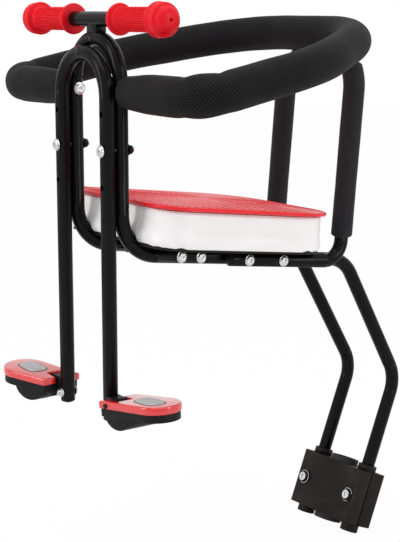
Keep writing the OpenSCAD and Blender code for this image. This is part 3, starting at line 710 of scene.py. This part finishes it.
stitches, stitch_sizes = stitch_tree("stitch_run", BLACK_THREAD)
seam_runs = []
for offset in (-0.13, 0.13):
    run = []
    for point, ahead, along in pad_route[6:-6]:
        across = guard_normal.cross(ahead).normalized()
        a = COVER_SEAM + offset
        normal = across * math.cos(a) + guard_normal * math.sin(a)
        run.append((point + normal * pad_radius(along, a), normal))
    seam_runs.append(run)
thread = grown(carrier("padding_stitches", seam_runs), stitches, stitch_sizes,
               {"Pitch": 4.2 * MM, "Length": 3.2 * MM, "Width": 0.7 * MM, "Height": 0.6 * MM,
                "Lift": 0.1 * MM})
hand_over(thread, "seat", "mesh_fabric")


def binding_radius(s, _):
    """A rolled edge 7.2 mm wide that stands 5.2 mm above the tube."""
    return 8.8 + 5.2 * (1 - abs(s / 3.6 - 1) ** 3.2) ** 0.5 if 0.02 < s < 7.1 else 8.7


for side, label in SIDES:
    outer = Vector((side, 0, 0))
    binding_route = [(Vector((side * (GUARD_STUB + 2.6 + k * 0.6), LEG_Y, GUARD_Z)), outer, k * 0.6)
                     for k in range(13)]
    binding = swept(f"padding_binding_{label}", binding_route, 56, guard_normal, binding_radius, BLACK_THREAD)
    hand_over(binding, "seat", "mesh_fabric")

# Foam sleeves on the backrest posts, from above the rails into the bends of the arch

for side, label in SIDES:
    foot, top = Vector((side * OUTER_X, POST_FOOT.y, POST_FOOT.z)), Vector((side * OUTER_X, ARCH_Y, ARCH_Z))
    up = (top - foot).normalized()
    begin = foot + up * SLEEVE_START
    stop = (top - begin).length - POST_BEND + POST_BEND * math.pi / 2 * SLEEVE_BEND_SHARE
    arch = rounded_route([begin, top, Vector((-side * OUTER_X, ARCH_Y, ARCH_Z))], [0, POST_BEND, 0], 1.8)
    route = [step for step in arch if step[2] <= stop]

    def sleeve_radius(s, a, stop=stop):
        """The sleeve's radius, rounded over its last 4 mm and very slightly uneven."""
        edge = min(s, stop - s)
        r = SLEEVE_R - 4.4 * (1 - min(1.0, edge / 4.0)) ** 2.2
        return r + 0.14 * noise.noise(Vector((s / 22, math.cos(a), math.sin(a)))) - 0.25 * hump(s, 60, 40)

    flat = Vector((side, 0, 0)).cross(up)
    sleeve = swept(f"backrest_foam_{label}_sleeve", route, 56, flat, sleeve_radius, FOAM)
    hand_over(sleeve, "seat", "sleeve_foam", f"backrest_foam_{label}")

# Grips: turned rubber with rows of raised studs. The profile gives radius and distance from the middle of the
# bar for the inner flange, barrel, outer flange, step and dome with its vent

GRIP_PROFILE = [
    (0, 46.0), (8.9, 46.0), (15.8, 46.0), (17.0, 46.6), (17.6, 47.8), (17.6, 49.6), (17.0, 50.8),
    (15.4, 51.4), (13.4, 52.2), (12.4, 53.6), (12.0, 55.5), (12.0, 116), (12.4, 118.4), (13.6, 120.4),
    (15.8, 121.6), (18.2, 122.0), (19.0, 122.7), (19.2, 124.0), (18.9, 125.4), (18.0, 126.2), (17.6, 127.0),
    (18.0, 127.9), (18.4, 129.0), (18.5, 131.5), (18.4, 134.5), (17.8, 136.4), (16.6, 137.3), (15.2, 137.8),
    (14.5, 138.8), (13.8, 141.0), (12.2, 143.2), (9.8, 144.8), (7.0, 145.7), (4.4, 146.1), (2.4, 146.2),
    (1.9, 146.0), (1.7, 145.4), (1.6, 142.5), (0, 142.5)]

studs, stud_sizes = stitch_tree("stud_run", GRIP)
for side, label in SIDES:
    stand = Matrix.Translation((0, LEG_Y, HANDLE_Z)) @ Matrix.Rotation(side * math.pi / 2, 4, "Y")
    grip = turned(f"grip_{label}_body", GRIP_PROFILE, 72, stand, GRIP)
    subdivision = grip.modifiers.new("round", "SUBSURF")
    subdivision.levels = subdivision.render_levels = 1
    fixed(grip)
    hand_over(grip, "seat", "grip_rubber", f"grip_{label}")
    runs = []
    for k in range(STUD_ROWS):
        a = 2 * math.pi * k / STUD_ROWS
        normal = (stand.to_3x3() @ Vector((math.cos(a), math.sin(a), 0))).normalized()
        first = STUD_START + (0.0 if k % 2 else STUD_PITCH / 2)
        runs.append([(stand @ Vector((BARREL_R * math.cos(a), BARREL_R * math.sin(a), first + t)), normal)
                     for t in (0, STUD_RUN / 2, STUD_RUN)])
    raised = grown(carrier(f"grip_{label}_studs", runs), studs, stud_sizes,
                   {"Pitch": STUD_PITCH * MM, "Length": 2.1 * MM, "Width": 1.5 * MM, "Height": 3.0 * MM,
                    "Lift": 0.1 * MM})
    hand_over(raised, "seat", "grip_rubber")


# Seat: white side wall and red ribbed top over blown foam, with red piping on the seam

def on_rail(x, y, z):
    """A point from the seat's own frame: across, back along the rails and up from them."""
    return RAIL_START + Vector((x, 0, 0)) + RAIL_ALONG * y + RAIL_UP * z


def seat_edge(margin, count=420):
    """Closed outline of the seat in the rail frame, drawn in by a margin, with even steps."""
    half, front, rear = SEAT_HALF - margin, SEAT_FRONT + margin, SEAT_REAR - margin
    fr, rr = FRONT_CORNER - margin * 0.5, REAR_CORNER - margin * 0.5
    marks = []
    for cx, cy, r, start in ((half - fr, front + fr, fr, -90), (half - rr, rear - rr, rr, 0),
                             (rr - half, rear - rr, rr, 90), (fr - half, front + fr, fr, 180)):
        marks += [(cx + r * math.cos(math.radians(start + a)), cy + r * math.sin(math.radians(start + a)))
                  for a in range(0, 91, 3)]
    lengths = [0.0]
    for i in range(len(marks)):
        a, b = marks[i], marks[(i + 1) % len(marks)]
        lengths.append(lengths[-1] + math.hypot(b[0] - a[0], b[1] - a[1]))
    edge, i = [], 0
    for k in range(count):
        want = lengths[-1] * k / count
        while lengths[i + 1] < want:
            i += 1
        t = (want - lengths[i]) / max(1e-9, lengths[i + 1] - lengths[i])
        a, b = marks[i], marks[(i + 1) % len(marks)]
        edge.append((a[0] + (b[0] - a[0]) * t, a[1] + (b[1] - a[1]) * t))
    return edge


# The left leg from above the seat, its bend of radius 50 and its rail, as points every 3 mm
rail_points = [step[0] for step in rounded_route(
    [(LEG_X, LEG_Y, 470), (LEG_X, LEG_Y, RAIL_START.z), on_rail(LEG_X, 335, 0)], [0, 50, 0], 3.0)]


def clear_of_rails(p, gap):
    """Pushes a point out of the way of the two legs and rails."""
    mirrored = Vector((abs(p.x), p.y, p.z))
    near = min(rail_points, key=lambda q: (q - mirrored).length_squared)
    away = mirrored - near
    if away.length < TUBE_R + gap:
        mirrored = near + away.normalized() * (TUBE_R + gap)
        return Vector((math.copysign(mirrored.x, p.x), mirrored.y, mirrored.z))
    return p


def blown_cushion():
    """The foam body under its vinyl, by voxel remesh and a short pressure run of the cloth solver."""
    rings = [(1.6, WRAP_Z), (0.5, WRAP_Z + 3), (1.0, BOARD_TOP + 5), (1.8, SEAM_Z - 8), (2.6, SEAM_Z - 4.0),
             (9, SEAM_Z - 3.2)]
    count = 160
    points = [(x, y, z) for margin, z in rings for x, y in seat_edge(margin, count)]
    faces = bands(len(rings), count)
    faces += [tuple(range(count)), tuple(range((len(rings) - 1) * count, len(rings) * count))]
    body = outward(piece_from("seat_cushion_body", points, faces, WHITE))
    remesh = body.modifiers.new("voxels", "REMESH")
    remesh.mode, remesh.voxel_size, remesh.use_smooth_shade = "VOXEL", 5 * MM, True
    fixed(body)
    for vertex in body.data.vertices:
        vertex.co = on_rail(*(vertex.co / MM)) * MM
    rest = [v.co.copy() for v in body.data.vertices]
    pinned = body.vertex_groups.new(name="board")
    low = [i for i, p in enumerate(rest) if (p / MM - RAIL_START).dot(RAIL_UP) < BOARD_TOP + 1.5]
    pinned.add(low, 1.0, "REPLACE")
    cloth = body.modifiers.new("cloth", "CLOTH")
    cloth.settings.use_pressure = True
    cloth.settings.uniform_pressure_force = 4
    cloth.settings.vertex_group_mass = "board"
    cloth.settings.effector_weights.gravity = 0
    cloth.settings.tension_stiffness = cloth.settings.compression_stiffness = 22
    cloth.point_cache.frame_start, cloth.point_cache.frame_end = 1, CLOTH_FRAMES
    for step in range(1, CLOTH_FRAMES + 1):
        bpy.context.scene.frame_set(step)
    graph = bpy.context.evaluated_depsgraph_get()
    blown = [v.co.copy() for v in body.evaluated_get(graph).data.vertices]
    body.modifiers.clear()
    bpy.context.scene.frame_set(1)
    for vertex, start, end in zip(body.data.vertices, rest, blown):
        # The sides may swell by 2.2 mm, and the top by 0.3 mm, so that it stays under the red panel
        move = end - start
        cap = 2.2 - 1.9 * smoothstep(SEAM_Z - 9, SEAM_Z - 4, (start / MM - RAIL_START).dot(RAIL_UP))
        vertex.co = start + move * min(1.0, cap * MM / max(1e-9, move.length))
    subdivision = body.modifiers.new("round", "SUBSURF")
    subdivision.levels = subdivision.render_levels = 1
    fixed(body, 180)
    for vertex in body.data.vertices:
        p = vertex.co / MM
        up = (p - RAIL_START).dot(RAIL_UP)
        if up < WRAP_Z:
            p += RAIL_UP * (WRAP_Z - up)
        vertex.co = clear_of_rails(p, 0.9) * MM
    return body


cushion = blown_cushion()
hand_over(cushion, "seat", "seat_side_vinyl", "seat_cushion")


def top_height(x, y, inside):
    """Height of the red panel above its seam: a soft crown with raised diagonal ribs. Inside runs from 0 at
    the seam to 1 in the middle."""
    crown = 3.2 * (1 - (1 - smoothstep(0, 1, min(1.0, inside / 0.62))) ** 1.5) ** 0.9
    lengthwise = 0.9 * math.sin(math.pi * (y - SEAT_FRONT) / (SEAT_REAR - SEAT_FRONT))
    across = x * math.cos(RIB_TURN) + y * math.sin(RIB_TURN)
    wave = 0.5 + 0.5 * math.cos(2 * math.pi * across / RIB_PITCH)
    rib = 1.3 * smoothstep(0.15, 0.8, wave) * smoothstep(0.05, 0.1, inside)
    return crown * (0.86 + 0.14 * lengthwise) + rib - 1.0 * hump(inside, 0.055, 0.022)


def red_panel():
    """The sewn top panel, laid over the body from the seam to the middle, with its ribs in the mesh."""
    count, rows = 640, 84
    edge = seat_edge(0.9, count)
    level = SEAM_Z + PANEL_LIFT
    points = []
    for i in range(rows):
        inside = i / rows
        for x, y in edge:
            px, py = x * (1 - inside), SEAT_MIDDLE + (y - SEAT_MIDDLE) * (1 - inside)
            points.append(on_rail(px, py, level + top_height(px, py, inside)))
    points.append(on_rail(0, SEAT_MIDDLE, level + top_height(0, SEAT_MIDDLE, 1.0)))
    faces = bands(rows, count)
    hub = len(points) - 1
    faces += [((rows - 1) * count + k, (rows - 1) * count + (k + 1) % count, hub) for k in range(count)]
    under = len(points)
    for depth, drawn in ((2.6, 0.0), (3.0, 3.0)):
        scale = 1 - drawn / SEAT_HALF
        points += [on_rail(x * scale, SEAT_MIDDLE + (y - SEAT_MIDDLE) * scale, level - depth)
                   for x, y in edge]
    for k in range(count):
        n = (k + 1) % count
        faces.append((k, under + k, under + n, n))
        faces.append((under + k, under + count + k, under + count + n, under + n))
    faces.append(tuple(range(under + count, under + 2 * count)))
    return outward(piece_from("seat_top_panel", points, faces, RED))


top_panel = red_panel()
hand_over(top_panel, "seat", "seat_top_vinyl", "seat_top")


def closed_tube(name, centre, radius, around, material):
    """A round cord along a closed run of points that lies level with the rails."""
    count = len(centre)
    points, faces = [], []
    for i in range(count):
        ahead = (centre[(i + 1) % count] - centre[i - 1]).normalized()
        across = RAIL_UP.cross(ahead).normalized()
        up = ahead.cross(across)
        for k in range(around):
            a = 2 * math.pi * k / around
            points.append(centre[i] + (across * math.cos(a) + up * math.sin(a)) * radius)
    for i in range(count):
        for k in range(around):
            j, n = (i + 1) % count, (k + 1) % around
            faces.append((i * around + k, j * around + k, j * around + n, i * around + n))
    return outward(piece_from(name, points, faces, material))


piping_run = [on_rail(x, y, SEAM_Z - 0.6) for x, y in seat_edge(0.4)]
hand_over(closed_tube("seat_piping", piping_run, 2.2, 14, PIPING), "seat", "seat_top_vinyl")

seam_run = [(on_rail(x, y, SEAM_Z - 4.4), on_rail(x, y, 0) - on_rail(0, SEAT_MIDDLE, 0))
            for x, y in seat_edge(-0.35)]
thread = grown(carrier("seat_stitches", [seam_run + seam_run[:1]]), *stitch_tree("seat_stitch_run", WHITE),
               {"Pitch": 4.5 * MM, "Length": 3.4 * MM, "Width": 0.8 * MM, "Height": 0.6 * MM, "Lift": 0.0})
hand_over(thread, "seat", "seat_side_vinyl")
softened("seat_board", "seat_board_ply", PLY, 0.5, "board_wood")


# Pedals: polished red tread with a rubber inlay over a black shell with a hinge housing

def pedal_edge(margin):
    """Outline of a tread from above, x outward from the leg: a wide round end and a notch for the hinge."""
    r = PEDAL_END_R - margin
    end = PEDAL_END
    low, high = Vector((10 + margin, margin - 21.5)), Vector((10 + margin, 27.5 - margin))
    start = math.atan2(low.y - end.y, low.x - end.x) + math.acos(r / (low - end).length)
    stop = math.atan2(high.y - end.y, high.x - end.x) - math.acos(r / (high - end).length)
    turns = [start + (stop - start) * i / 40 for i in range(41)]
    edge = [low] + [end + Vector((math.cos(a), math.sin(a))) * r for a in turns]
    notch = [(10 + margin, 11.2 + margin), (30 + margin, 11.2 + margin), (30 + margin, -9.2 - margin),
             (10 + margin, -9.2 - margin)]
    return [(p[0], p[1]) for p in edge + [high]] + notch


def on_hinge(side):
    """Stands a pedal at its leg, turned about its pin by the rise of its outer end."""
    leg = Matrix.Translation((side * LEG_X, FRONT_Y, 0)) @ Matrix.Rotation(0 if side > 0 else math.pi, 4, "Z")
    pin = Matrix.Translation((PIN_X, 0, PIN_Z))
    return leg @ pin @ Matrix.Rotation(-PEDAL_RISE, 4, "Y") @ pin.inverted()


def inlay_edge(margin):
    """Outline of the inlay, a rectangle of 38 by 25 mm with very round corners."""
    edge = []
    for k in range(64):
        a = 2 * math.pi * k / 64
        c, s = math.cos(a), math.sin(a)
        edge.append((57 + math.copysign(abs(c) ** 0.62, c) * (19 - margin),
                     15.5 + math.copysign(abs(s) ** 0.62, s) * (12.5 - margin)))
    return edge


for side, label in SIDES:
    stand = on_hinge(side)
    body = f"{label}_pedal"
    tread = rounded_prism(f"pedal_tread_{label}_shell", pedal_edge, PEDAL_TOP - 9, PEDAL_TOP, 1.8, 5, stand,
                          RED_ABS)
    hand_over(tread, body, "pedal_red", f"pedal_tread_{label}")
    rim = rounded_prism(f"pedal_inlay_rim_{label}", lambda margin: inlay_edge(margin - 1.2), PEDAL_TOP - 1,
                        PEDAL_TOP + 0.25, 0.3, 2, stand, BLACK_ABS)
    hand_over(rim, body, "pedal_black")
    inlay = rounded_prism(f"pedal_inlay_{label}", inlay_edge, PEDAL_TOP - 0.8, PEDAL_TOP + 0.7, 0.5, 3, stand,
                          INLAY)
    hand_over(inlay, body, "pedal_black")
    softened(f"pedal_base_{label}", f"pedal_base_{label}_shell", BLACK_ABS, 1.0, "pedal_black", body, 3)
    softened(f"pedal_bracket_{label}", f"pedal_bracket_{label}_lug", BLACK_ABS, 0.8, "pedal_black", rounds=3)


# Light, floor and camera, in metres and watts. The world is white to the camera and in reflections, and
# dimmer as light on matt surfaces

world = bpy.data.worlds.new("studio")
bpy.context.scene.world = world
world.use_nodes = True
sky = world.node_tree
sky.nodes.clear()
rays = add(sky, "ShaderNodeLightPath")
seen = add(sky, "ShaderNodeMath", {0: rays.outputs["Is Camera Ray"], 1: rays.outputs["Is Glossy Ray"]},
           operation="MAXIMUM")
seen = add(sky, "ShaderNodeMath", {0: seen.outputs[0], 1: rays.outputs["Is Transmission Ray"]},
           operation="MAXIMUM")
strength = add(sky, "ShaderNodeMapRange", {"Value": seen.outputs[0], "To Min": 0.62, "To Max": 1.0})
back = add(sky, "ShaderNodeBackground", {"Color": hex_colour("ffffff"), "Strength": strength.outputs[0]})
add(sky, "ShaderNodeOutputWorld", {"Surface": back.outputs[0]})


def softbox(name, spot, width, height, power):
    """A rectangular lamp turned toward the middle of the seat."""
    lamp = bpy.data.lights.new(name, "AREA")
    lamp.shape, lamp.size, lamp.size_y, lamp.energy = "RECTANGLE", width, height, power
    holder = bpy.data.objects.new(name, lamp)
    bpy.context.scene.collection.objects.link(holder)
    holder.location = spot
    toward = Vector((0.0, -0.2, 0.35)) - Vector(spot)
    holder.rotation_euler = toward.to_track_quat("-Z", "Y").to_euler()


softbox("left_softbox", (-0.4, -2.0, 1.1), 0.5, 1.6, 16)
softbox("right_softbox", (2.2, 0.5, 1.0), 0.6, 1.6, 18)
softbox("top_softbox", (0.3, -0.4, 2.4), 1.6, 1.6, 20)

# A floor 4 mm under the seat that is nearly white to the camera and takes a faint shadow
floor = bpy.data.materials.new("pale_floor")
floor.use_nodes = True
tree = floor.node_tree
tree.nodes.clear()
rays = add(tree, "ShaderNodeLightPath")
matt = add(tree, "ShaderNodeBsdfDiffuse", {"Color": hex_colour("f4f4f4")})
glow = add(tree, "ShaderNodeEmission", {"Color": hex_colour("ffffff"), "Strength": 1.0})
share = add(tree, "ShaderNodeMath", {0: rays.outputs["Is Camera Ray"], 1: 0.97}, operation="MULTIPLY")
mixed = add(tree, "ShaderNodeMixShader", {"Fac": share.outputs[0], 1: matt.outputs[0], 2: glow.outputs[0]})
add(tree, "ShaderNodeOutputMaterial", {"Surface": mixed.outputs[0]})
floor_z, reach = cad_box[0][2] / MM - 4, 6000
corners = [(x * reach, y * reach, floor_z) for x, y in ((-1, -1), (1, -1), (1, 1), (-1, 1))]
ground = piece_from("studio_floor", corners, [(0, 1, 2, 3)], floor, smooth=False)

# Camera fitted to the photograph: 1361.34 pixels of focal length on a picture 542 pixels high, 10.94 degrees
# down and turned 54 degrees to the left of straight back
lens = bpy.data.cameras.new("camera")
lens.lens, lens.sensor_width, lens.clip_end = 1361.34 * 36 / 542, 36, 20
camera = bpy.data.objects.new("camera", lens)
bpy.context.scene.collection.objects.link(camera)
camera.location = (1.30792, -1.17815, 0.63662)
camera.rotation_euler = (math.radians(90 - 10.94), 0, math.radians(54))
bpy.context.scene.camera = camera
bpy.context.scene.view_settings.view_transform = "Standard"
